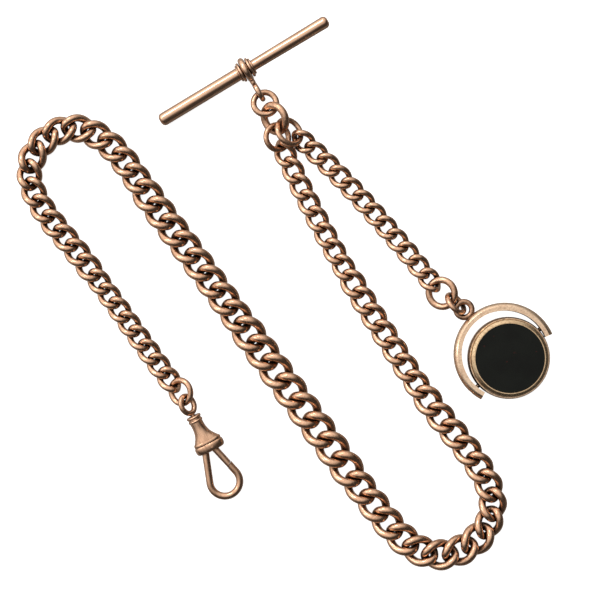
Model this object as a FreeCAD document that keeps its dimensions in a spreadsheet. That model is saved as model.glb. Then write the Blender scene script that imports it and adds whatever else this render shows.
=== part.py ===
import FreeCAD, Part
import math
import os
import Sketcher
from FreeCAD import Placement, Rotation, Vector

# A gentleman's single Albert watch chain laid out flat: bar, bail, rings, graduated curb chain,
# dog-clip swivel, and a drop chain with a spinning stone fob. Millimetres. The table is Z = 0,
# +X and +Y lie in the table, and the origin is the middle of the footprint.

doc = FreeCAD.newDocument("albert_chain")
sheet = doc.addObject("Spreadsheet::Sheet", "sizes")

# Driving dimensions: alias, value, meaning.
SIZES = [
    ("layout_x", 0.16, "brings the middle of the footprint to the origin"),
    ("layout_y", 0.248, "brings the middle of the footprint to the origin"),
    ("bar_straight_length", 20.95, "middle of the bar to its straight arm's tip"),
    ("bar_tapered_length", 20.05, "middle of the bar to its tapered arm's tip"),
    ("bar_radius", 1.40, "straight arm of the bar"),
    ("bar_waist_radius", 1.18, "tapered arm beside the knot"),
    ("bar_tip_radius", 1.32, "tapered arm at its tip"),
    ("bar_angle", 30.6, "heading of the bar in the table plane, degrees"),
    ("bar_lean", 3.6, "how far the bar leans down to its straight arm's tip, degrees"),
    ("knot_x", -8.25, "middle of the bar"),
    ("knot_y", 46.8, "middle of the bar"),
    ("collar_radius", 2.2, "large bead of a collar"),
    ("collar_step", 0.36, "how much lower the small bead is"),
    ("collar_gap", 0.76, "middle of the bar to the near face of a collar"),
    ("bail_ring_wire", 0.66, "wire radius of the bail's turning ring"),
    ("bail_fit", 0.06, "running fit of the bail on the bar"),
    ("bail_eye_reach", 5.35, "bar axis to the middle of the bail's eye"),
    ("bail_eye_half_length", 1.72, "wire centre line"),
    ("bail_eye_half_width", 1.42, "wire centre line"),
    ("bail_eye_wire", 0.56, "wire radius of the bail's eye"),
    ("bail_droop", 6.0, "how far the bail sags towards the table, degrees"),
    ("ring_upper_radius", 2.42, "jump ring on the bail, wire centre line"),
    ("ring_upper_wire", 0.58, "wire radius"),
    ("ring_centre_radius", 2.90, "heavy connector ring, wire centre line"),
    ("ring_centre_wire", 0.72, "wire radius"),
    ("ring_main_radius", 2.62, "top ring of the main chain, wire centre line"),
    ("ring_main_wire", 0.60, "wire radius"),
    ("ring_drop_radius", 2.85, "top ring of the drop chain, wire centre line"),
    ("ring_drop_wire", 0.58, "wire radius"),
    ("gauge_top_width", 7.0, "widest curb links"),
    ("gauge_width_step", 0.58, "each smaller gauge is narrower by this"),
    ("gauge_top_pitch", 5.25, "pulled-tight pitch of the widest links"),
    ("gauge_pitch_step", 0.31, "each smaller gauge is shorter by this"),
    ("links_in_gauge", 7.8, "links made in one gauge"),
    ("wire_share", 0.117, "wire radius as a share of link width"),
    ("link_twist", 45.0, "twist of a link's end against its middle, degrees"),
    ("main_links", 70, "links in the main chain"),
    ("drop_links", 12, "links in the drop chain"),
    ("drop_link_width", 4.62, "outer width of a drop link"),
    ("drop_link_pitch", 3.72, "pulled-tight pitch of a drop link"),
    ("slack_first", 0.972, "how tightly the first half lies"),
    ("slack_second", 0.915, "how tightly the second half lies"),
    ("slack_bend", 0.2, "how much closer links crowd in a bend, per link length over bend radius"),
    ("lift_per_link", 0.035, "most a link's height can differ from its neighbour's"),
    ("end_roll", 4.5, "extra roll per link over the last four links at each end, degrees"),
    ("end_ring_radius", 2.50, "ring between chain and swivel, wire centre line"),
    ("end_ring_wire", 0.54, "wire radius"),
    ("big_ring_radius", 2.87, "ring at the foot of the drop chain, wire centre line"),
    ("big_ring_wire", 0.72, "wire radius"),
    ("small_ring_radius", 2.33, "jump ring that carries the fob, wire centre line"),
    ("small_ring_wire", 0.55, "wire radius"),
    ("fob_x", 46.9, "middle of the spinner"),
    ("fob_y", -13.6, "middle of the spinner"),
    ("fob_heading", 42.5, "heading of the spinner's pivots, degrees"),
    ("spinner_radius", 8.6, "outer radius of the spinner's band"),
    ("spinner_edge_radius", 8.35, "band beside the bezels"),
    ("spinner_wall", 0.85, "thickness of the band"),
    ("band_half_width", 1.65, "half width of the band"),
    ("band_flat_half_width", 0.8, "half width of the band's crown"),
    ("bezel_radius", 8.2, "outer radius of a bezel"),
    ("bezel_shoulder_radius", 7.98, "bezel beside its lip"),
    ("bezel_shoulder_height", 2.35, "height of the shoulder"),
    ("bezel_lip_radius", 7.25, "inner edge of the lip over the stone"),
    ("bezel_foot", 0.15, "start of a bezel's seat"),
    ("stone_radius", 7.4, "radius of each stone"),
    ("stone_foot", 0.2, "back face of each stone"),
    ("stone_height", 2.62, "polished face of each stone"),
    ("stone_bevel", 0.18, "bevel round the polished face"),
    ("spinner_half_height", 2.8, "half thickness of the spinner over its lips"),
    ("frame_inner_radius", 9.1, "inside of the C-shaped frame"),
    ("frame_outer_radius", 10.8, "outside of the C-shaped frame"),
    ("frame_half_width", 1.25, "half width of the frame"),
    ("frame_offset", 1.1, "frame centre from the pivots, towards the bow"),
    ("frame_dip", 3.0, "how far the frame dips about its pivots, degrees"),
    ("frame_span", 219.0, "how far the frame reaches round, degrees"),
    ("pivot_radius", 0.45, "pivot pins"),
    ("pivot_fit", 0.05, "running fit of the spinner on its pins"),
    ("pivot_start", 7.82, "inner end of a pin"),
    ("pivot_end", 10.62, "outer end of a pin"),
    ("bow_reach", 13.75, "pivots to the middle of the bow ring"),
    ("bow_radius", 1.66, "bow ring, wire centre line"),
    ("bow_wire", 0.60, "wire radius"),
    ("swivel_x", -20.44, "middle of the swivel's eye"),
    ("swivel_y", -23.45, "middle of the swivel's eye"),
    ("swivel_z", 2.73, "middle of the swivel's eye"),
    ("swivel_heading", -63.8, "heading of the swivel, degrees"),
    ("swivel_dip", 5.0, "how far the swivel slopes down to its hook, degrees"),
    ("swivel_eye_roll", -40.0, "how far the eye is turned on its shank, degrees"),
    ("swivel_eye_half_length", 1.90, "wire centre line"),
    ("swivel_eye_half_width", 1.60, "wire centre line"),
    ("swivel_eye_wire", 0.58, "wire radius"),
    ("shank_radius", 0.5, "shank of the eye"),
    ("shank_fit", 0.05, "running fit of the shank in the barrel"),
    ("shank_head_radius", 0.85, "riveted head inside the barrel"),
    ("barrel_top", 2.62, "top of the barrel from the middle of the eye"),
    ("head_at", 4.45, "start of the riveted head"),
    ("base_half_width", 3.2, "barrel base across the hook"),
    ("base_half_height", 1.86, "barrel base through the hook"),
    ("head_room_radius", 0.95, "hollow round the riveted head"),
    ("hook_wire", 0.68, "wire radius of the hook and gate"),
    ("hook_bend_radius", 3.15, "round end of the hook, wire centre line"),
    ("hook_bend_at", 18.05, "middle of the round end"),
    ("hook_bend_side", -0.2, "middle of the round end beside the axis"),
    ("hook_root_at", 9.0, "start of the hook inside the base"),
    ("hook_root_side", -0.55, "start of the hook beside the axis"),
    ("gate_pin_at", 9.9, "gate hinge from the middle of the eye"),
    ("gate_pin_side", 0.75, "gate hinge beside the axis"),
    ("gate_pin_radius", 0.32, "gate hinge pin"),
    ("gate_pin_fit", 0.04, "running fit of the gate on its pin"),
    ("gate_length", 5.45, "hinge to the slanted tip"),
    ("gate_slant", 31.0, "slant of the tip, degrees"),
    ("gate_gap", 0.12, "gap at the closed tip"),
    ("gate_swing", 20.0, "how far the gate opens, degrees"),
    ("gate_room", 0.10, "room round the gate inside the base"),
    ("spring_start", 6.8, "fixed end of the leaf spring"),
    ("spring_length", 2.3, "length of the leaf spring"),
    ("spring_width", 1.0, "width of the leaf spring"),
    ("spring_thickness", 0.2, "thickness of the leaf spring"),
]
for row, (alias, value, meaning) in enumerate(SIZES, 1):
    sheet.set(f"A{row}", alias)
    sheet.set(f"B{row}", str(value))
    sheet.set(f"C{row}", meaning)
    sheet.setAlias(f"B{row}", alias)
# Sizes worked out from the driving ones.
DERIVED = [
    ("bail_ring_radius", "=bar_radius + bail_fit + bail_ring_wire"),
    ("knot_z", "=bail_ring_radius + bail_ring_wire"),
    ("collar_shoulder", "=collar_radius - 0.28"),
    ("collar_bead_top", "=collar_gap + 0.31"),
    ("collar_valley", "=collar_gap + 0.62"),
    ("collar_small_top", "=collar_gap + 0.82"),
    ("collar_small_radius", "=collar_radius - collar_step"),
    ("collar_small_shoulder", "=collar_small_radius - 0.18"),
    ("collar_end", "=collar_gap + 1.02"),
    ("bar_step", "=collar_end + 0.02"),
    ("spinner_bore", "=spinner_radius - spinner_wall"),
    ("pivot_hole", "=pivot_radius + pivot_fit"),
    ("pivot_length", "=pivot_end - pivot_start"),
    ("bezel_seat_radius", "=stone_radius + 0.04"),
    ("stone_bevel_radius", "=stone_radius - stone_bevel"),
    ("stone_bevel_height", "=stone_height - stone_bevel"),
    ("lip_under", "=stone_height + 0.03"),
    ("frame_crown", "=(frame_inner_radius + frame_outer_radius) / 2"),
    ("shank_bore", "=shank_radius + shank_fit"),
    ("gate_pin_hole", "=gate_pin_radius + gate_pin_fit"),
    ("gate_thickness", "=2 * hook_wire"),
    ("gate_pin_length", "=2 * base_half_height - 0.16"),
]
for row, (alias, formula) in enumerate(DERIVED, len(SIZES) + 1):
    sheet.set(f"A{row}", alias)
    sheet.set(f"B{row}", formula)
    sheet.setAlias(f"B{row}", alias)
doc.recompute()

NODES = []
LAYOUT = Placement(Vector(float(sheet.get("layout_x")), float(sheet.get("layout_y")), 0), Rotation())


def size(alias):
    """Value of a cell; a leading minus sign turns it over, and 0 stays 0."""
    if alias == "0":
        return 0.0
    if alias.startswith("-"):
        return -float(sheet.get(alias[1:]))
    return float(sheet.get(alias))


def bind(thing, field, alias):
    """Ties a property of an object to a cell of the sheet."""
    if alias.startswith("-"):
        thing.setExpression(field, "-sizes." + alias[1:])
    else:
        thing.setExpression(field, "sizes." + alias)


def node(thing, place):
    """Marks an object as one finished piece and puts it in its place on the table."""
    thing.Placement = LAYOUT.multiply(place)
    NODES.append(thing)
    return thing


def torus(label, radius, wire):
    """A ring of round wire."""
    ring = doc.addObject("Part::Torus", label)
    bind(ring, "Radius1", radius)
    bind(ring, "Radius2", wire)
    return ring


def cylinder(label, radius, height, place):
    """A round bar that starts at its placement and runs along its own Z."""
    bar = doc.addObject("Part::Cylinder", label)
    bind(bar, "Radius", radius)
    if isinstance(height, str):
        bind(bar, "Height", height)
    else:
        bar.Height = height
    bar.Placement = place
    return bar


def solid_feature(label, shape):
    """A piece whose free-form shape is worked out from the sheet."""
    thing = doc.addObject("Part::Feature", label)
    thing.Shape = shape
    return thing


def fuse(label, pieces):
    joined = doc.addObject("Part::MultiFuse", label)
    joined.Shapes = pieces
    return joined


def cut(label, base, tool):
    left = doc.addObject("Part::Cut", label)
    left.Base = base
    left.Tool = tool
    return left


def origin_part(body, role):
    return [f for f in body.Origin.OriginFeatures if f.Role == role][0]


def outline(body, label, plane, corners, bulges=None):
    """A closed sketch through corners named by their cells; bulges turns a side into an arc."""
    bulges = bulges or {}
    sketch = body.newObject("Sketcher::SketchObject", label)
    sketch.AttachmentSupport = [(origin_part(body, plane), "")]
    sketch.MapMode = "FlatFace"
    points = [Vector(size(x), size(y), 0) for x, y in corners]
    ends = []
    for i, point in enumerate(points):
        nxt = points[(i + 1) % len(points)]
        forward = True
        if i in bulges:
            crown = Vector(size(bulges[i][0]), size(bulges[i][1]), 0)
            forward = (crown - point).cross(nxt - crown).z > 0
            arc = Part.Arc(point, crown, nxt) if forward else Part.Arc(nxt, crown, point)
            sketch.addGeometry(arc, False)
        else:
            sketch.addGeometry(Part.LineSegment(point, nxt), False)
        ends.append((1, 2) if forward else (2, 1))
    for i in range(len(points)):
        j = (i + 1) % len(points)
        sketch.addConstraint(Sketcher.Constraint("Coincident", i, ends[i][1], j, ends[j][0]))
    for i, (x, y) in enumerate(corners):
        for kind, alias, axis in (("DistanceX", x, -2), ("DistanceY", y, -1)):
            if alias == "0":
                sketch.addConstraint(Sketcher.Constraint("PointOnObject", i, ends[i][0], axis))
            else:
                at = sketch.addConstraint(Sketcher.Constraint(kind, -1, 1, i, ends[i][0], size(alias)))
                bind(sketch, f"Constraints[{at}]", alias)
    return sketch


def turned(label, plane, axis, corners, bulges=None, angle=360.0):
    """A body made by turning one outline about an axis of its own."""
    body = doc.addObject("PartDesign::Body", label)
    sketch = outline(body, label + "_outline", plane, corners, bulges)
    turn = body.newObject("PartDesign::Revolution", label + "_turned")
    turn.Profile = sketch
    turn.ReferenceAxis = (origin_part(body, axis), [""])
    turn.Angle = angle
    sketch.Visibility = False
    doc.recompute()
    return body


def closed_tube(centre_line, radius, stations=24, around=8):
    """A solid wire of round section that follows a closed line back into itself."""
    rings = []
    for i in range(stations):
        u = 2 * math.pi * i / stations
        centre = centre_line(u)
        along = centre_line(u + 0.001) - centre_line(u - 0.001)
        along.normalize()
        inward = along * centre.dot(along) - centre
        inward.normalize()
        side = along.cross(inward)
        ring = []
        for j in range(around):
            v = 2 * math.pi * j / around
            ring.append(centre + (inward * math.cos(v) + side * math.sin(v)) * radius)
        rings.append(ring)
    poles = spread(list(zip(*spread(rings))))
    poles = list(zip(*poles))
    surface = Part.BSplineSurface()
    surface.buildFromPolesMultsKnots(
        [list(ring) for ring in poles],
        [1] * (stations + 1),
        [1] * (around + 1),
        [float(k) for k in range(stations + 1)],
        [float(k) for k in range(around + 1)],
        True,
        True,
        3,
        3,
    )
    solid = Part.Solid(Part.Shell([surface.toShape()]))
    if solid.Volume < 0:
        solid.reverse()
    return solid


def spread(rings):
    """Moves a closed row of poles outwards so that the cubic surface passes through the old points."""
    count = len(rings)
    return [
        [
            here * (4 / 3) - (before + after) * (1 / 6)
            for before, here, after in zip(rings[i - 1], rings[i], rings[(i + 1) % count])
        ]
        for i in range(count)
    ]


def curb_line(half_length, half_width, twist):
    """Centre line of a curb link: an oval whose two ends are twisted opposite ways."""

    def point(u):
        along = half_length * math.cos(u)
        across = half_width * math.sin(u)
        lean = -twist * math.cos(u)
        return Vector(along, across * math.cos(lean), across * math.sin(lean))

    return point


def curb_size(width, pitch):
    """Wire radius, half length and half width of a curb link, to the wire centre line."""
    wire = width * size("wire_share")
    half_length = pitch / 2 + wire
    half_width = width / 2 - wire
    return {"wire": wire, "half_length": half_length, "half_width": half_width}


def rise_of(one, roll):
    """How high the middle of a link lies above the table when it is rolled about its length."""
    line = curb_line(one["half_length"], one["half_width"], math.radians(size("link_twist")))
    turn = math.radians(roll)
    points = [line(math.pi * k / 90) for k in range(180)]
    return one["wire"] - min(p.z * math.cos(turn) + p.y * math.sin(turn) for p in points)


def lay_links(route, sizes, slack):
    """Centres and headings of links spaced along a smooth route on the table."""
    curve = Part.BSplineCurve()
    curve.interpolate([Vector(x, y, 0) for x, y in route])
    length = curve.length()
    halves = [one["half_length"] - one["wire"] for one in sizes]
    weights = list(slack)
    for attempt in range(4):
        shares = [half * weight for half, weight in zip(halves, weights)]
        steps = [shares[i] + shares[i + 1] for i in range(len(shares) - 1)]
        scale = length / sum(steps)
        at = [scale * sum(steps[:i]) for i in range(len(shares))]
        inside = [min(max(reach, 0.001), length - 0.001) for reach in at]
        spots = [curve.parameterAtDistance(reach, curve.FirstParameter) for reach in inside]
        bends = [2 * half * abs(curve.curvature(spot)) for half, spot in zip(halves, spots)]
        room = [size("slack_first") * (1 - size("slack_bend") * bend) for bend in bends]
        weights = [min(base, most) for base, most in zip(slack, room)]
    points = [curve.value(spot) for spot in spots]
    last = len(points) - 1
    rolls = [size("end_roll") * (max(0, 4 - i) - max(0, 4 - last + i)) for i in range(last + 1)]
    rises = [rise_of(one, roll) for one, roll in zip(sizes, rolls)]
    frames = []
    for i, point in enumerate(points):
        before = points[max(i - 1, 0)]
        after = points[min(i + 1, last)]
        heading = math.degrees(math.atan2(after.y - before.y, after.x - before.x))
        height = max(rise - size("lift_per_link") * abs(i - j) for j, rise in enumerate(rises))
        frames.append(Placement(Vector(point.x, point.y, height), Rotation(heading, 0, rolls[i])))
    return frames


MAIN_ROUTE = [
    (0.0, 29.35), (4.8, 19.4), (12.3, 5.5), (22.8, -11.5), (32.3, -25.5), (40.6, -36.2),
    (43.7, -45.0), (39.6, -52.5), (30.6, -54.9), (20.2, -46.5), (8.0, -30.0), (-7.0, -9.4),
    (-20.2, 8.8), (-30.2, 22.5), (-37.9, 32.0), (-44.6, 34.7), (-50.9, 31.9), (-53.8, 25.6),
    (-51.6, 18.7), (-45.2, 10.3), (-38.2, 1.1), (-29.1, -11.7), (-24.3, -18.3),
]
DROP_ROUTE = [(3.85, 31.95), (11.6, 24.5), (18.8, 16.7), (25.8, 8.5), (30.55, 2.65)]

count = int(size("main_links"))
middle = (count - 1) / 2
main_sizes = []
main_slack = []
for i in range(count):
    gauge = abs(round((i - middle) / size("links_in_gauge")))
    width = size("gauge_top_width") - size("gauge_width_step") * gauge
    pitch = size("gauge_top_pitch") - size("gauge_pitch_step") * gauge
    main_sizes.append(curb_size(width, pitch))
    main_slack.append(size("slack_first") if i < middle + 2 else size("slack_second"))
main_frames = lay_links(MAIN_ROUTE, main_sizes, main_slack)
drop_sizes = [curb_size(size("drop_link_width"), size("drop_link_pitch"))] * int(size("drop_links"))
drop_frames = lay_links(DROP_ROUTE, drop_sizes, [0.97] * len(drop_sizes))


def link_group(label, sizes, frames):
    """Some neighbouring links of one chain, each a solid of its own."""
    twist = math.radians(size("link_twist"))
    solids = []
    for one, frame in zip(sizes, frames):
        line = curb_line(one["half_length"], one["half_width"], twist)
        link = closed_tube(line, one["wire"])
        link.Placement = frames[0].inverse().multiply(frame)
        solids.append(link)
    return node(solid_feature(label, Part.Compound(solids)), frames[0])


def split(total, groups):
    """Where each of some nearly equal groups starts and ends."""
    marks = [round(total * k / groups) for k in range(groups + 1)]
    return list(zip(marks[:-1], marks[1:]))


def tilted(x, y, z, towards, angle):
    """A place whose flat side leans: it is turned about a level line that heads towards."""
    heading = math.radians(towards)
    return Placement(Vector(x, y, z), Rotation(Vector(math.cos(heading), math.sin(heading), 0), angle))


UPRIGHT = Rotation()
ALONG_X = Rotation(Vector(0, 1, 0), 90)
FACING_X = Rotation(Vector(1, 1, 1), 120)

# Bar: one arm straight, the other tapered towards the knot, both with rounded tips.
knot = Placement(
    Vector(size("knot_x"), size("knot_y"), size("knot_z")),
    Rotation(size("bar_angle"), -size("bar_lean"), 0),
)
bar = turned(
    "t_bar",
    "XY_Plane",
    "X_Axis",
    [
        ("-bar_straight_length", "0"),
        ("-bar_straight_length", "bar_radius"),
        ("bar_step", "bar_radius"),
        ("bar_step", "bar_waist_radius"),
        ("bar_tapered_length", "bar_tip_radius"),
        ("bar_tapered_length", "0"),
    ],
)
bar_turned = bar.Tip
tip_rims = [
    f"Edge{i + 1}"
    for i, edge in enumerate(bar_turned.Shape.Edges)
    if abs(edge.Vertexes[0].X - edge.Vertexes[-1].X) < 0.01
    and abs(edge.Vertexes[0].X) > size("bar_tapered_length") - 0.01
    and abs(edge.Vertexes[0].Y) > 1
]
tips = bar.newObject("PartDesign::Fillet", "t_bar_tips")
tips.Base = (bar_turned, tip_rims)
tips.Radius = 0.95
node(bar, knot)

# Two double-beaded collars soldered to the bar keep the bail in the middle.
COLLAR = [
    ("collar_gap", "bar_radius"),
    ("collar_gap", "collar_shoulder"),
    ("collar_valley", "collar_shoulder"),
    ("collar_valley", "collar_small_shoulder"),
    ("collar_end", "collar_small_shoulder"),
    ("collar_end", "bar_radius"),
]
COLLAR_BEADS = {
    1: ("collar_bead_top", "collar_radius"),
    3: ("collar_small_top", "collar_small_radius"),
}
node(turned("collar_right", "XY_Plane", "X_Axis", COLLAR, COLLAR_BEADS), knot)
facing = knot.multiply(Placement(Vector(0, 0, 0), Rotation(Vector(0, 0, 1), 180)))
node(turned("collar_left", "XY_Plane", "X_Axis", COLLAR, COLLAR_BEADS), facing)

# Bail: a ring that turns on the bar, and in the same plane the eye for the first jump ring.
bail_place = knot.multiply(Placement(Vector(0, 0, 0), Rotation(Vector(1, 0, 0), size("bail_droop"))))


def bail_eye_line(u):
    return Vector(
        0, -size("bail_eye_half_length") * math.cos(u), size("bail_eye_half_width") * math.sin(u)
    )


turning_ring = torus("bail_turning_ring", "bail_ring_radius", "bail_ring_wire")
turning_ring.Placement = Placement(Vector(0, 0, 0), ALONG_X)
eye = solid_feature("bail_eye", closed_tube(bail_eye_line, size("bail_eye_wire")))
eye.Placement = Placement(Vector(0, -size("bail_eye_reach"), 0), UPRIGHT)
neck_at = size("bail_ring_radius") + 0.2
neck = cylinder(
    "bail_neck", "bail_eye_wire", 1.0, Placement(Vector(0, -neck_at, 0), Rotation(Vector(1, 0, 0), 90))
)
node(fuse("bail", [turning_ring, neck, eye]), bail_place)

# Loose rings of the knot end.
node(torus("jump_ring_upper", "ring_upper_radius", "ring_upper_wire"), tilted(-4.18, 39.8, 2.48, 152.7, 12.4))
connector = torus("connector_ring", "ring_centre_radius", "ring_centre_wire")
node(connector, tilted(-2.11, 36.59, 2.78, -59.7, 45.2))
node(torus("main_top_ring", "ring_main_radius", "ring_main_wire"), tilted(-1.61, 32.73, 1.98, 91.9, 27.0))
node(torus("drop_top_ring", "ring_drop_radius", "ring_drop_wire"), tilted(0.88, 33.81, 2.69, 125.2, 39.3))

# Curb links.
for number, (first, last) in enumerate(split(count, 24), 1):
    link_group(f"main_links_{number:02d}", main_sizes[first:last], main_frames[first:last])
for number, (first, last) in enumerate(split(len(drop_sizes), 4), 1):
    link_group(f"drop_links_{number}", drop_sizes[first:last], drop_frames[first:last])

# Foot of the drop chain.
node(torus("drop_foot_ring", "big_ring_radius", "big_ring_wire"), tilted(32.95, -0.06, 1.97, -66.6, 25.9))
node(torus("fob_jump_ring", "small_ring_radius", "small_ring_wire"), tilted(35.82, -2.22, 2.59, 133.8, 61.2))

# Fob: local X runs along the pivots and local Y towards the bow.
fob = Placement(
    Vector(size("fob_x"), size("fob_y"), size("spinner_half_height")),
    Rotation(Vector(0, 0, 1), size("fob_heading")),
)
frame_shift = Placement(Vector(0, size("frame_offset"), 0), UPRIGHT)
start_angle = 90 - size("frame_span") / 2
hung = fob.multiply(Placement(Vector(0, 0, 0), Rotation(Vector(1, 0, 0), -size("frame_dip"))))
FRAME = [
    ("frame_inner_radius", "-frame_half_width"),
    ("frame_crown", "-frame_half_width"),
    ("frame_crown", "frame_half_width"),
    ("frame_inner_radius", "frame_half_width"),
]
FRAME_ROUND = {1: ("frame_outer_radius", "0")}
band = turned("frame_band", "XZ_Plane", "Z_Axis", FRAME, FRAME_ROUND, size("frame_span"))
band.Placement = frame_shift.multiply(Placement(Vector(0, 0, 0), Rotation(Vector(0, 0, 1), start_angle)))
pivot_bore = cylinder("frame_pivot_bore", "pivot_radius", 30.0, Placement(Vector(-15, 0, 0), ALONG_X))
node(cut("fob_frame", band, pivot_bore), hung)

bow_ring = torus("bow_ring", "bow_radius", "bow_wire")
bow_ring.Placement = Placement(Vector(0, size("bow_reach"), 0), UPRIGHT)
bow_seat = turned("bow_seat", "XZ_Plane", "Z_Axis", FRAME, FRAME_ROUND)
bow_seat.Placement = frame_shift
node(cut("fob_bow", bow_ring, bow_seat), hung)

for label, side in (("pivot_pin_upper", 0), ("pivot_pin_lower", 180)):
    turn = Placement(Vector(0, 0, 0), Rotation(Vector(0, 0, 1), side))
    start = Placement(Vector(size("pivot_start"), 0, 0), ALONG_X)
    node(cylinder(label, "pivot_radius", "pivot_length", start), hung.multiply(turn).multiply(start))

ring_wall = turned(
    "spinner_wall_ring",
    "XZ_Plane",
    "Z_Axis",
    [
        ("spinner_bore", "-band_half_width"),
        ("spinner_edge_radius", "-band_half_width"),
        ("spinner_radius", "-band_flat_half_width"),
        ("spinner_radius", "band_flat_half_width"),
        ("spinner_edge_radius", "band_half_width"),
        ("spinner_bore", "band_half_width"),
    ],
)
spinner_bore = cylinder("spinner_pivot_bore", "pivot_hole", 30.0, Placement(Vector(-15, 0, 0), ALONG_X))
node(cut("spinner_band", ring_wall, spinner_bore), fob)

BEZEL = [
    ("bezel_seat_radius", "bezel_foot"),
    ("spinner_bore", "bezel_foot"),
    ("spinner_bore", "band_half_width"),
    ("bezel_radius", "band_half_width"),
    ("bezel_shoulder_radius", "bezel_shoulder_height"),
    ("bezel_seat_radius", "spinner_half_height"),
    ("bezel_lip_radius", "spinner_half_height"),
    ("bezel_lip_radius", "lip_under"),
    ("bezel_seat_radius", "lip_under"),
]
STONE = [
    ("0", "stone_foot"),
    ("stone_radius", "stone_foot"),
    ("stone_radius", "stone_bevel_height"),
    ("stone_bevel_radius", "stone_height"),
    ("0", "stone_height"),
]
over = fob.multiply(Placement(Vector(0, 0, 0), Rotation(Vector(1, 0, 0), 180)))
for name, place in (("front", fob), ("back", over)):
    node(turned("bezel_" + name, "XZ_Plane", "Z_Axis", BEZEL), place)
    node(turned("stone_" + name, "XZ_Plane", "Z_Axis", STONE), place)

# Swivel: local X runs from the eye to the hook, local Y across the hook.
swivel = Placement(
    Vector(size("swivel_x"), size("swivel_y"), size("swivel_z")),
    Rotation(size("swivel_heading"), size("swivel_dip"), 0),
)
node(torus("end_ring", "end_ring_radius", "end_ring_wire"), tilted(-21.86, -20.76, 2.45, -77.7, 32.9))


def swivel_eye_line(u):
    return Vector(
        -size("swivel_eye_half_length") * math.cos(u), size("swivel_eye_half_width") * math.sin(u), 0
    )


eye_turn = Placement(Vector(0, 0, 0), Rotation(Vector(1, 0, 0), size("swivel_eye_roll")))
eye_wire = solid_feature("swivel_eye_wire", closed_tube(swivel_eye_line, size("swivel_eye_wire")))
eye_wire.Placement = eye_turn
eye_end = size("swivel_eye_half_length")
shank = cylinder(
    "swivel_shank", "shank_radius", size("head_at") - eye_end + 0.1, Placement(Vector(eye_end, 0, 0), ALONG_X)
)
head_start = Placement(Vector(size("head_at"), 0, 0), ALONG_X)
shank_head = cylinder("swivel_shank_head", "shank_head_radius", 0.5, head_start)
node(fuse("swivel_eye", [eye_wire, shank, shank_head]), swivel)


def ellipse(label, along, side, half_width, half_height):
    """A cross-section of the barrel."""
    section = doc.addObject("Part::Ellipse", label)
    section.MajorRadius = half_width
    section.MinorRadius = half_height
    section.Placement = Placement(Vector(along, side, 0), FACING_X)
    return section


def loft(label, sections):
    """A solid through cross-sections: distance along, side shift, half width, half height."""
    through = doc.addObject("Part::Loft", label)
    through.Sections = [ellipse(f"{label}_{i}", *one) for i, one in enumerate(sections)]
    through.Solid = True
    through.Ruled = False
    return through


wide = size("base_half_width")
tall = size("base_half_height")
top = size("barrel_top")
barrel_throat = loft(
    "barrel_throat",
    [
        (top, 0.0, 1.30, 1.28),
        (top + 1.7, 0.0, 1.38, 1.36),
        (top + 2.7, 0.03, 1.40, 1.36),
        (top + 3.7, 0.08, 1.58, 1.42),
        (top + 4.7, 0.15, 2.0, 1.52),
        (top + 5.5, 0.22, 2.55, 1.64),
        (top + 6.1, 0.25, 2.85, 1.7),
    ],
)
barrel_upper_band = loft(
    "barrel_upper_band",
    [
        (top + 5.75, 0.25, wide - 0.42, tall - 0.26),
        (top + 5.95, 0.25, wide - 0.24, tall - 0.14),
        (top + 6.3, 0.25, wide - 0.18, tall - 0.1),
        (top + 6.6, 0.25, wide - 0.32, tall - 0.2),
    ],
)
barrel_lower_band = loft(
    "barrel_lower_band",
    [
        (top + 6.5, 0.25, wide - 0.3, tall - 0.18),
        (top + 6.75, 0.25, wide - 0.06, tall - 0.02),
        (top + 7.3, 0.25, wide, tall),
        (top + 7.9, 0.25, wide - 0.12, tall - 0.08),
        (top + 8.25, 0.25, wide - 0.5, tall - 0.4),
    ],
)
barrel_beads = []
for number, (along, radius) in enumerate(((top + 0.3, 1.30), (top + 1.15, 1.27)), 1):
    bead = doc.addObject("Part::Torus", f"barrel_bead_{number}")
    bead.Radius1 = radius
    bead.Radius2 = 0.3
    bead.Placement = Placement(Vector(along, 0, 0), ALONG_X)
    barrel_beads.append(bead)
barrel_solid = fuse("barrel_solid", [barrel_throat, barrel_upper_band, barrel_lower_band] + barrel_beads)


def tangent_leg(start, inward):
    """How far a straight leg from a point runs to the hook's round end, and its direction."""
    reach = bend_centre - start
    distance = reach.Length
    lean = math.asin(size("hook_bend_radius") / distance)
    heading = math.atan2(reach.y, reach.x) + inward * lean
    run = math.sqrt(distance**2 - size("hook_bend_radius") ** 2)
    return run, math.degrees(heading)


def rod(label, radius, start, heading, length):
    """A round bar in the plane of the hook."""
    return cylinder(label, radius, length, Placement(start, Rotation(Vector(0, 0, 1), heading) * ALONG_X))


def block(label, corner, heading, long, broad, high, side_shift=0.0):
    """A box that starts at a point, runs along a heading and is centred across it and in height."""
    box = doc.addObject("Part::Box", label)
    box.Length = long
    box.Width = broad
    box.Height = high
    turn = Rotation(Vector(0, 0, 1), heading)
    box.Placement = Placement(corner + turn.multVec(Vector(0, side_shift - broad / 2, -high / 2)), turn)
    return box


bend_centre = Vector(size("hook_bend_at"), size("hook_bend_side"), 0)
root = Vector(size("hook_root_at"), size("hook_root_side"), 0)
hinge = Vector(size("gate_pin_at"), size("gate_pin_side"), 0)
leg_run, leg_heading = tangent_leg(root, -1)
gate_run, gate_heading = tangent_leg(hinge, 1)
gate_line = Vector(math.cos(math.radians(gate_heading)), math.sin(math.radians(gate_heading)), 0)
seam = hinge + gate_line * size("gate_length")
seam_heading = gate_heading + size("gate_slant")
knuckle = Placement(hinge - Vector(0, 0, size("hook_wire")), UPRIGHT)
spring_foot = Vector(size("spring_start"), size("gate_pin_side"), 0)

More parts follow.
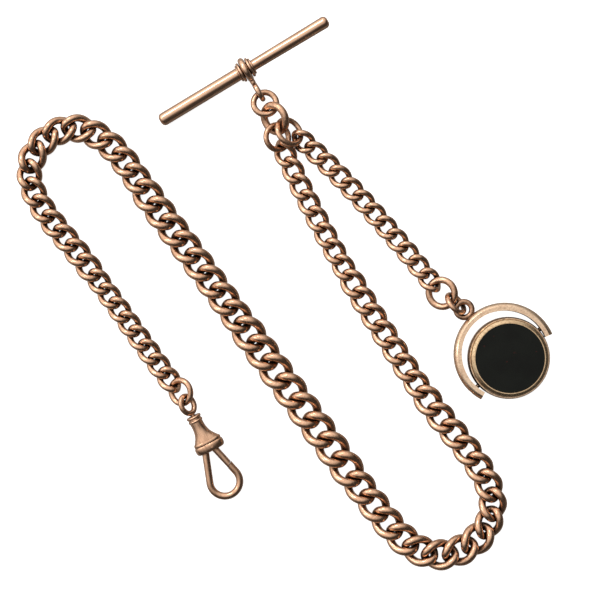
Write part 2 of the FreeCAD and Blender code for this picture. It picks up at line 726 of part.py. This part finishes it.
room = size("gate_room")
gate_room_width = size("gate_thickness") + 2 * room
room_round = doc.addObject("Part::Cylinder", "gate_room_round")
room_round.Radius = gate_room_width / 2
room_round.Height = gate_room_width
room_round.Placement = Placement(hinge - Vector(0, 0, gate_room_width / 2), UPRIGHT)
head_room_at = size("head_at") - 0.1
spring_length = size("spring_length")
spring_thickness = size("spring_thickness")
spring_width = size("spring_width")
hollows = fuse(
    "barrel_hollows",
    [
        rod("shank_bore", "shank_bore", Vector(top - 1, 0, 0), 0, head_room_at - top + 1.1),
        rod("head_room", "head_room_radius", Vector(head_room_at, 0, 0), 0, 2.6),
        rod("leg_socket", "hook_wire", root, leg_heading, leg_run),
        cylinder("gate_pin_socket", "gate_pin_radius", 5.0, Placement(hinge - Vector(0, 0, 2.5), UPRIGHT)),
        room_round,
        block("gate_room_shut", hinge, gate_heading, 3.0, gate_room_width, gate_room_width),
        block(
            "gate_room_open", hinge, gate_heading - size("gate_swing"), 3.0, gate_room_width, gate_room_width
        ),
        block("spring_slot", spring_foot, 0, spring_length, spring_thickness, spring_width),
        block("spring_room", Vector(7.1, size("gate_pin_side"), 0), 0, 2.2, 0.9, 1.2),
    ],
)
node(cut("swivel_barrel", barrel_solid, hollows), swivel)

round_end = doc.addObject("Part::Torus", "hook_round_end")
bind(round_end, "Radius1", "hook_bend_radius")
bind(round_end, "Radius2", "hook_wire")
round_end.Angle3 = gate_heading - leg_heading + 180
round_end.Placement = Placement(bend_centre, Rotation(Vector(0, 0, 1), leg_heading - 90))
leg = rod("hook_leg", "hook_wire", root, leg_heading, leg_run)
nib_end = hinge + gate_line * gate_run
nib_bar = rod("hook_nib_bar", "hook_wire", nib_end, gate_heading + 180, gate_run - size("gate_length") + 1)
nib_cutter = block(
    "hook_nib_cutter",
    seam + Rotation(Vector(0, 0, 1), seam_heading).multVec(Vector(size("gate_gap"), 0, 0)),
    seam_heading + 180,
    4.0,
    6.0,
    4.0,
)
nib = cut("hook_nib", nib_bar, nib_cutter)
node(fuse("swivel_hook", [leg, round_end, nib]), swivel)

gate_bar = rod("gate_bar", "hook_wire", hinge, gate_heading, size("gate_length") + 1)
gate_knuckle = cylinder("gate_knuckle", "hook_wire", "gate_thickness", knuckle)
gate_cutter = block("gate_cutter", seam, seam_heading, 4.0, 6.0, 4.0)
gate_pin_bore = cylinder("gate_pin_bore", "gate_pin_hole", 5.0, Placement(hinge - Vector(0, 0, 2.5), UPRIGHT))
gate_solid = fuse("gate_solid", [gate_bar, gate_knuckle])
node(cut("swivel_gate", gate_solid, fuse("gate_cuts", [gate_cutter, gate_pin_bore])), swivel)

pin_start = Placement(hinge - Vector(0, 0, size("gate_pin_length") / 2), UPRIGHT)
gate_pin = cylinder("gate_pin", "gate_pin_radius", "gate_pin_length", pin_start)
node(gate_pin, swivel.multiply(pin_start))

leaf = block("gate_spring", spring_foot, 0, spring_length, spring_thickness, spring_width)
bind(leaf, "Length", "spring_length")
bind(leaf, "Width", "spring_thickness")
bind(leaf, "Height", "spring_width")
node(leaf, swivel.multiply(leaf.Placement))

doc.recompute()

# Every object must have worked out before the pieces are written.
for thing in doc.Objects:
    if "Invalid" in thing.State or "Error" in thing.State:
        raise RuntimeError("failed: " + thing.Label)
os.makedirs("parts", exist_ok=True)
for thing in NODES:
    if thing.Shape.isNull() or not thing.Shape.isValid():
        raise RuntimeError("bad shape: " + thing.Label)
    thing.Shape.exportStep(os.path.join("parts", thing.Label + ".step"))
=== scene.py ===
import math
import bpy
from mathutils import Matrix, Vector


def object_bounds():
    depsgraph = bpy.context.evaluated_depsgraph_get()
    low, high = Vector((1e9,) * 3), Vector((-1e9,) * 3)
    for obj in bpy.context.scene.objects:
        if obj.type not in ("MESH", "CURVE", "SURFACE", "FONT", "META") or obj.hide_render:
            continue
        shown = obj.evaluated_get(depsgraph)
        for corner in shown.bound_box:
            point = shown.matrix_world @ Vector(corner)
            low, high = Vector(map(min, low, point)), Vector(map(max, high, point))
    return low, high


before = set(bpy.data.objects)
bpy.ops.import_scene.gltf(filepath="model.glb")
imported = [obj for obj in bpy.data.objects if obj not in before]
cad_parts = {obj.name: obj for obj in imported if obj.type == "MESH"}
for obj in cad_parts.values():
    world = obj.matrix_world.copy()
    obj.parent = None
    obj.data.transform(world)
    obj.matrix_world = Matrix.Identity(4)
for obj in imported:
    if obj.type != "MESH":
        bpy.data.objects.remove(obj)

cad_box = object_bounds()
scene = bpy.context.scene
MM = 0.001

# Sockets of a Mix node, whose names repeat for each kind of value.
MIX_FACTOR = 0
FLOAT_A, FLOAT_B, FLOAT_RESULT = 2, 3, 0
COLOUR_A, COLOUR_B, COLOUR_RESULT = 6, 7, 2


class Shader:
    """A material built from nodes, with short calls for the kinds used here."""

    def __init__(self, name):
        self.material = bpy.data.materials.new(name)
        self.material.use_nodes = True
        self.tree = self.material.node_tree
        self.tree.nodes.clear()
        self.out = self.node("ShaderNodeOutputMaterial")
        self.surface = self.node("ShaderNodeBsdfPrincipled")
        self.link(self.surface.outputs["BSDF"], self.out.inputs["Surface"])
        self.where = self.node("ShaderNodeTexCoord").outputs["Object"]

    def node(self, kind, **settings):
        made = self.tree.nodes.new(kind)
        for key, value in settings.items():
            setattr(made, key, value)
        return made

    def link(self, source, target):
        self.tree.links.new(source, target)

    def put(self, value, socket):
        """Gives a socket a value: a colour, a number or another node's output."""
        if isinstance(value, tuple):
            socket.default_value = (*value, 1)
        elif isinstance(value, (int, float)):
            socket.default_value = value
        else:
            self.link(value, socket)

    def along(self, heading, stretch):
        """Coordinates drawn out by the stretch along a heading in the table plane, in degrees."""
        mapping = self.node("ShaderNodeMapping", vector_type="TEXTURE")
        mapping.inputs["Rotation"].default_value = (0, 0, math.radians(heading))
        mapping.inputs["Scale"].default_value = (stretch, 1, 1)
        self.link(self.where, mapping.inputs["Vector"])
        return mapping.outputs["Vector"]

    def noise(self, scale, detail=3.0, rough=0.55, grain=None):
        """Noise of the given scale, drawn out along a grain if one is given."""
        made = self.node("ShaderNodeTexNoise")
        made.inputs["Scale"].default_value = scale
        made.inputs["Detail"].default_value = detail
        made.inputs["Roughness"].default_value = rough
        self.link(self.along(*grain) if grain else self.where, made.inputs["Vector"])
        return made.outputs["Fac"]

    def ramp(self, factor, start, low, end, high):
        """A colour that runs from low to high as the factor runs from start to end."""
        made = self.node("ShaderNodeValToRGB")
        for point, at, colour in zip(made.color_ramp.elements, (start, end), (low, high)):
            point.position = at
            point.color = (*colour, 1)
        self.link(factor, made.inputs["Fac"])
        return made.outputs["Color"]

    def grey(self, factor, low, high, start=0.0, end=1.0):
        """A number that runs from low to high as the factor runs from start to end."""
        made = self.node("ShaderNodeMapRange")
        made.inputs["From Min"].default_value = start
        made.inputs["From Max"].default_value = end
        made.inputs["To Min"].default_value = low
        made.inputs["To Max"].default_value = high
        self.link(factor, made.inputs["Value"])
        return made.outputs["Result"]

    def maths(self, operation, a, b):
        made = self.node("ShaderNodeMath", operation=operation)
        self.put(a, made.inputs[0])
        self.put(b, made.inputs[1])
        return made.outputs["Value"]

    def mix(self, factor, a, b):
        """Colour a where the factor is 0 and colour b where it is 1."""
        made = self.node("ShaderNodeMix", data_type="RGBA")
        self.put(factor, made.inputs[MIX_FACTOR])
        self.put(a, made.inputs[COLOUR_A])
        self.put(b, made.inputs[COLOUR_B])
        return made.outputs[COLOUR_RESULT]

    def shelter(self, distance):
        """1 in the open and towards 0 in a recess."""
        made = self.node("ShaderNodeAmbientOcclusion")
        made.samples = 12
        made.inputs["Distance"].default_value = distance
        return made.outputs["AO"]

    def bump(self, height, strength, distance):
        made = self.node("ShaderNodeBump")
        made.inputs["Strength"].default_value = strength
        made.inputs["Distance"].default_value = distance
        self.link(height, made.inputs["Height"])
        self.link(made.outputs["Normal"], self.surface.inputs["Normal"])


# Metals. A grain is a heading in the table plane, in degrees, and how far it is drawn out.

# Brown of the hollows: patina, and painted shade where parts crowd each other.
FILM_AND_SHADE_BROWN = (0.050, 0.028, 0.017)
RECESS_REACH = 1.8 * MM
STREAK_SHADE = 0.66
FILM_ROUGHNESS = 0.16
SCUFF_SHARE = 0.14
DENT_DEPTH = 0.05 * MM
BRUSH_DEPTH = 0.02 * MM
BAR_GRAIN = (30.6, 50.0)
HOOK_GRAIN = (-63.8, 6.0)
SPRING_GRAIN = (60.0, 5.0)


def gold(name, warm, pale, film_and_shade_range, roughness, grain=None):
    """Old gold: two tones, a brown film in sheltered places that is patina and also painted shade
    in the recesses, streaks, scuffs and dents.

    The brown patina and painted shade are full where the shelter value is at the start of the
    given range and gone at its end.
    """
    shader = Shader(name)
    surface = shader.surface
    surface.inputs["Metallic"].default_value = 1.0
    cloudy = shader.noise(420, 3.0, 0.6)
    tone = shader.ramp(cloudy, 0.3, warm, 0.7, pale)
    scuffs = shader.noise(3200, 2.0, 0.6, grain)
    streaks = shader.grey(shader.noise(2200, 2.0, 0.5, grain), 0.0, 0.7, 0.45, 0.68)
    tone = shader.mix(streaks, tone, tuple(STREAK_SHADE * part for part in warm))
    # Brown where shelter is low: patina in the hollows, and painted shade where parts crowd each
    # other.
    sheltered = shader.shelter(RECESS_REACH)
    blotches = shader.noise(900, 4.0, 0.65)
    edge = shader.maths("ADD", sheltered, shader.grey(blotches, -0.16, 0.16, 0.3, 0.7))
    film_and_shade = shader.grey(edge, 1.0, 0.0, *film_and_shade_range)
    shader.link(shader.mix(film_and_shade, tone, FILM_AND_SHADE_BROWN), surface.inputs["Base Color"])
    worn = shader.grey(scuffs, roughness - 0.05, roughness + 0.09, 0.3, 0.7)
    dull = shader.maths("MULTIPLY", film_and_shade, FILM_ROUGHNESS)
    shader.link(shader.maths("ADD", worn, dull), surface.inputs["Roughness"])
    dents = shader.noise(520, 3.0, 0.5)
    height = shader.maths("ADD", dents, shader.maths("MULTIPLY", scuffs, SCUFF_SHARE))
    shader.bump(height, 0.25, DENT_DEPTH)
    return shader.material


def steel(name):
    """Brushed spring steel."""
    shader = Shader(name)
    surface = shader.surface
    surface.inputs["Metallic"].default_value = 1.0
    brushed = shader.noise(2500, 3.0, 0.6, SPRING_GRAIN)
    tone = shader.ramp(brushed, 0.3, (0.33, 0.31, 0.29), 0.7, (0.5, 0.48, 0.45))
    shader.link(tone, surface.inputs["Base Color"])
    shader.link(shader.grey(brushed, 0.28, 0.45), surface.inputs["Roughness"])
    shader.bump(brushed, 0.2, BRUSH_DEPTH)
    return shader.material


ROSE_PALE = (0.88, 0.57, 0.385)
chain_gold = gold("chain_gold", (0.77, 0.46, 0.295), ROSE_PALE, (0.36, 0.76), 0.22)
ring_gold = gold("ring_gold", (0.70, 0.41, 0.26), ROSE_PALE, (0.30, 0.68), 0.25)
bar_gold = gold("bar_gold", (0.86, 0.54, 0.365), (0.93, 0.63, 0.44), (0.36, 0.74), 0.19, BAR_GRAIN)
hook_gold = gold("hook_gold", (0.80, 0.49, 0.32), ROSE_PALE, (0.34, 0.72), 0.20, HOOK_GRAIN)
# The bow's gold is drawn darker: painted shade for the shadow it lies in.
bow_gold_painted_shade = gold("bow_gold_painted_shade", (0.42, 0.25, 0.16), (0.60, 0.37, 0.24), (0.34, 0.76), 0.28)
frame_gold = gold("frame_gold", (0.82, 0.58, 0.40), (0.93, 0.73, 0.53), (0.34, 0.72), 0.22)
bezel_gold = gold("bezel_gold", (0.78, 0.55, 0.33), (0.90, 0.70, 0.45), (0.42, 0.80), 0.22)
leaf_steel = steel("leaf_steel")


# Stones.

FLECK_EDGE = 0.06
POLISH_DEPTH = 0.01 * MM


def stone(name, ground, cloud, fleck, fleck_from):
    """Polished hardstone: a clouded ground with small flecks under a high gloss."""
    shader = Shader(name)
    surface = shader.surface
    clouds = shader.noise(260, 5.0, 0.6)
    base = shader.ramp(clouds, 0.35, ground, 0.75, cloud)
    specks = shader.noise(700, 2.0, 0.4)
    amount = shader.grey(specks, 0.0, 0.8, fleck_from, fleck_from + FLECK_EDGE)
    shader.link(shader.mix(amount, base, fleck), surface.inputs["Base Color"])
    haze = shader.noise(1800, 3.0, 0.6)
    shader.link(shader.grey(haze, 0.16, 0.26), surface.inputs["Roughness"])
    surface.inputs["IOR"].default_value = 1.54
    surface.inputs["Specular IOR Level"].default_value = 0.16
    shader.bump(haze, 0.06, POLISH_DEPTH)
    return shader.material


bloodstone = stone(
    "bloodstone",
    ground=(0.0030, 0.0042, 0.0030),
    cloud=(0.0062, 0.0085, 0.0062),
    fleck=(0.05, 0.008, 0.006),
    fleck_from=0.70,
)
carnelian = stone(
    "carnelian",
    ground=(0.22, 0.035, 0.012),
    cloud=(0.38, 0.085, 0.03),
    fleck=(0.50, 0.16, 0.06),
    fleck_from=0.66,
)


# What each piece is made of. The links, which aren't listed, are chain gold.

LOOKS = {
    "t_bar": bar_gold,
    "collar_left": bar_gold,
    "collar_right": bar_gold,
    "bail": bar_gold,
    "jump_ring_upper": ring_gold,
    "connector_ring": ring_gold,
    "main_top_ring": ring_gold,
    "drop_top_ring": ring_gold,
    "end_ring": ring_gold,
    "drop_foot_ring": ring_gold,
    "fob_jump_ring": ring_gold,
    "fob_bow": bow_gold_painted_shade,
    "fob_frame": frame_gold,
    "pivot_pin_upper": frame_gold,
    "pivot_pin_lower": frame_gold,
    "spinner_band": frame_gold,
    "bezel_front": bezel_gold,
    "bezel_back": bezel_gold,
    "stone_front": bloodstone,
    "stone_back": carnelian,
    "swivel_eye": ring_gold,
    "swivel_barrel": hook_gold,
    "swivel_hook": hook_gold,
    "swivel_gate": hook_gold,
    "gate_pin": hook_gold,
    "gate_spring": leaf_steel,
}

# How much fuller a wire is drawn all round, so that neighbours touch as worn links do.
MAIN_LINK_SWELL = 0.12 * MM
DROP_LINK_SWELL = 0.08 * MM
SWELL = {
    "jump_ring_upper": 0.06 * MM,
    "connector_ring": 0.06 * MM,
    "end_ring": 0.08 * MM,
    "swivel_hook": 0.08 * MM,
    "swivel_gate": 0.03 * MM,
}


def swell_of(name):
    if name.startswith("main_links"):
        return MAIN_LINK_SWELL
    if name.startswith("drop_links"):
        return DROP_LINK_SWELL
    return SWELL.get(name, 0.0)


for name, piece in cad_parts.items():
    piece.data.materials.clear()
    piece.data.materials.append(LOOKS.get(name, chain_gold))
    if swell_of(name):
        fuller = piece.modifiers.new("fuller_wire", "DISPLACE")
        fuller.strength = swell_of(name)
        fuller.mid_level = 0.0


# Floor.

FLOOR_REACH = 2.0
FLOOR_GAP = 0.15 * MM


def paper():
    """White paper that glows, so that it stays white in the soft light."""
    shader = Shader("paper")
    surface = shader.surface
    fibres = shader.noise(900, 3.0, 0.5)
    tone = shader.ramp(fibres, 0.3, (0.88, 0.88, 0.88), 0.7, (0.92, 0.92, 0.92))
    shader.link(tone, surface.inputs["Base Color"])
    surface.inputs["Roughness"].default_value = 0.9
    surface.inputs["Specular IOR Level"].default_value = 0.0
    surface.inputs["Emission Color"].default_value = (1, 1, 1, 1)
    surface.inputs["Emission Strength"].default_value = 0.9
    return shader.material


def lay_floor(lowest):
    """A plain pale sheet just under the chain, kept out of the metal's reflections."""
    mesh = bpy.data.meshes.new("floor")
    signs = ((-1, -1), (1, -1), (1, 1), (-1, 1))
    mesh.from_pydata([(x * FLOOR_REACH, y * FLOOR_REACH, 0) for x, y in signs], [], [(0, 1, 2, 3)])
    mesh.materials.append(paper())
    floor = bpy.data.objects.new("floor", mesh)
    floor.location = (0, 0, lowest - FLOOR_GAP)
    floor.visible_glossy = False
    floor.visible_diffuse = False
    scene.collection.objects.link(floor)


low, high = cad_box
lay_floor(low[2])


# Lamps.

middle = Vector(((low[0] + high[0]) / 2, (low[1] + high[1]) / 2, 0))


def softbox(name, at, width, height, power):
    """A rectangular lamp that looks at the middle of the chain."""
    lamp = bpy.data.lights.new(name, "AREA")
    lamp.shape = "RECTANGLE"
    lamp.size = width
    lamp.size_y = height
    lamp.energy = power
    holder = bpy.data.objects.new(name, lamp)
    holder.location = at
    holder.rotation_euler = (middle - Vector(at)).to_track_quat("-Z", "Y").to_euler()
    scene.collection.objects.link(holder)


softbox("window", (-0.35, 0.55, 0.62), 0.30, 0.12, 1.1)
softbox("second_window", (-0.62, 0.10, 0.50), 0.12, 0.30, 0.45)


# The room: a broad bright side towards the upper left, a dark side opposite, a dim table below.

ROOM_COLOUR = (1.0, 0.95, 0.91, 1)
BRIGHT_SIDE = (-0.55, 0.65, 0.60)
TABLE_SIDE = (-0.6, 0.7, 0)
STRAIGHT_UP = (0, 0, 1)
world = bpy.data.worlds.new("studio")
scene.world = world
world.use_nodes = True
room = world.node_tree


def room_node(kind, **settings):
    made = room.nodes.new(kind)
    for key, value in settings.items():
        setattr(made, key, value)
    return made


def room_range(source, least, most, start, end):
    """A number that eases from least to most as the source runs from start to end."""
    made = room_node("ShaderNodeMapRange", interpolation_type="SMOOTHSTEP")
    made.inputs["From Min"].default_value = start
    made.inputs["From Max"].default_value = end
    made.inputs["To Min"].default_value = least
    made.inputs["To Max"].default_value = most
    room.links.new(source, made.inputs["Value"])
    return made.outputs["Result"]


def towards(direction):
    """How far a ray of the room points towards a direction, from -1 to 1."""
    made = room_node("ShaderNodeVectorMath", operation="DOT_PRODUCT")
    room.links.new(ray, made.inputs[0])
    made.inputs[1].default_value = Vector(direction).normalized()
    return made.outputs["Value"]


ray = room_node("ShaderNodeTexCoord").outputs["Generated"]
sky = room_range(towards(BRIGHT_SIDE), 0.05, 1.15, 0.0, 0.85)
above = room_range(towards(STRAIGHT_UP), 0.0, 1.0, -0.10, 0.05)
table = room_range(towards(TABLE_SIDE), 0.16, 0.46, -0.8, 1.0)
light = room_node("ShaderNodeMix", data_type="FLOAT")
room.links.new(above, light.inputs[MIX_FACTOR])
room.links.new(table, light.inputs[FLOAT_A])
room.links.new(sky, light.inputs[FLOAT_B])
background = room.nodes["Background"]
room.links.new(light.outputs[FLOAT_RESULT], background.inputs["Strength"])
background.inputs["Color"].default_value = ROOM_COLOUR


# Camera: straight above, at the distance that gives the same slight spread of the upright sides.

SENSOR_WIDTH = 36
VIEW_WIDTH = 126.3 * MM
VIEW_CENTRE = (3.32 * MM, -1.22 * MM)
VIEW_DISTANCE = 0.36
CHAIN_MID_HEIGHT = 1.5 * MM
camera_data = bpy.data.cameras.new("camera")
camera_data.sensor_width = SENSOR_WIDTH
camera_data.lens = SENSOR_WIDTH * VIEW_DISTANCE / VIEW_WIDTH
camera_data.clip_start = 0.01
camera = bpy.data.objects.new("camera", camera_data)
camera.location = (*VIEW_CENTRE, VIEW_DISTANCE + CHAIN_MID_HEIGHT)
scene.collection.objects.link(camera)
scene.camera = camera
scene.view_settings.view_transform = "Standard"
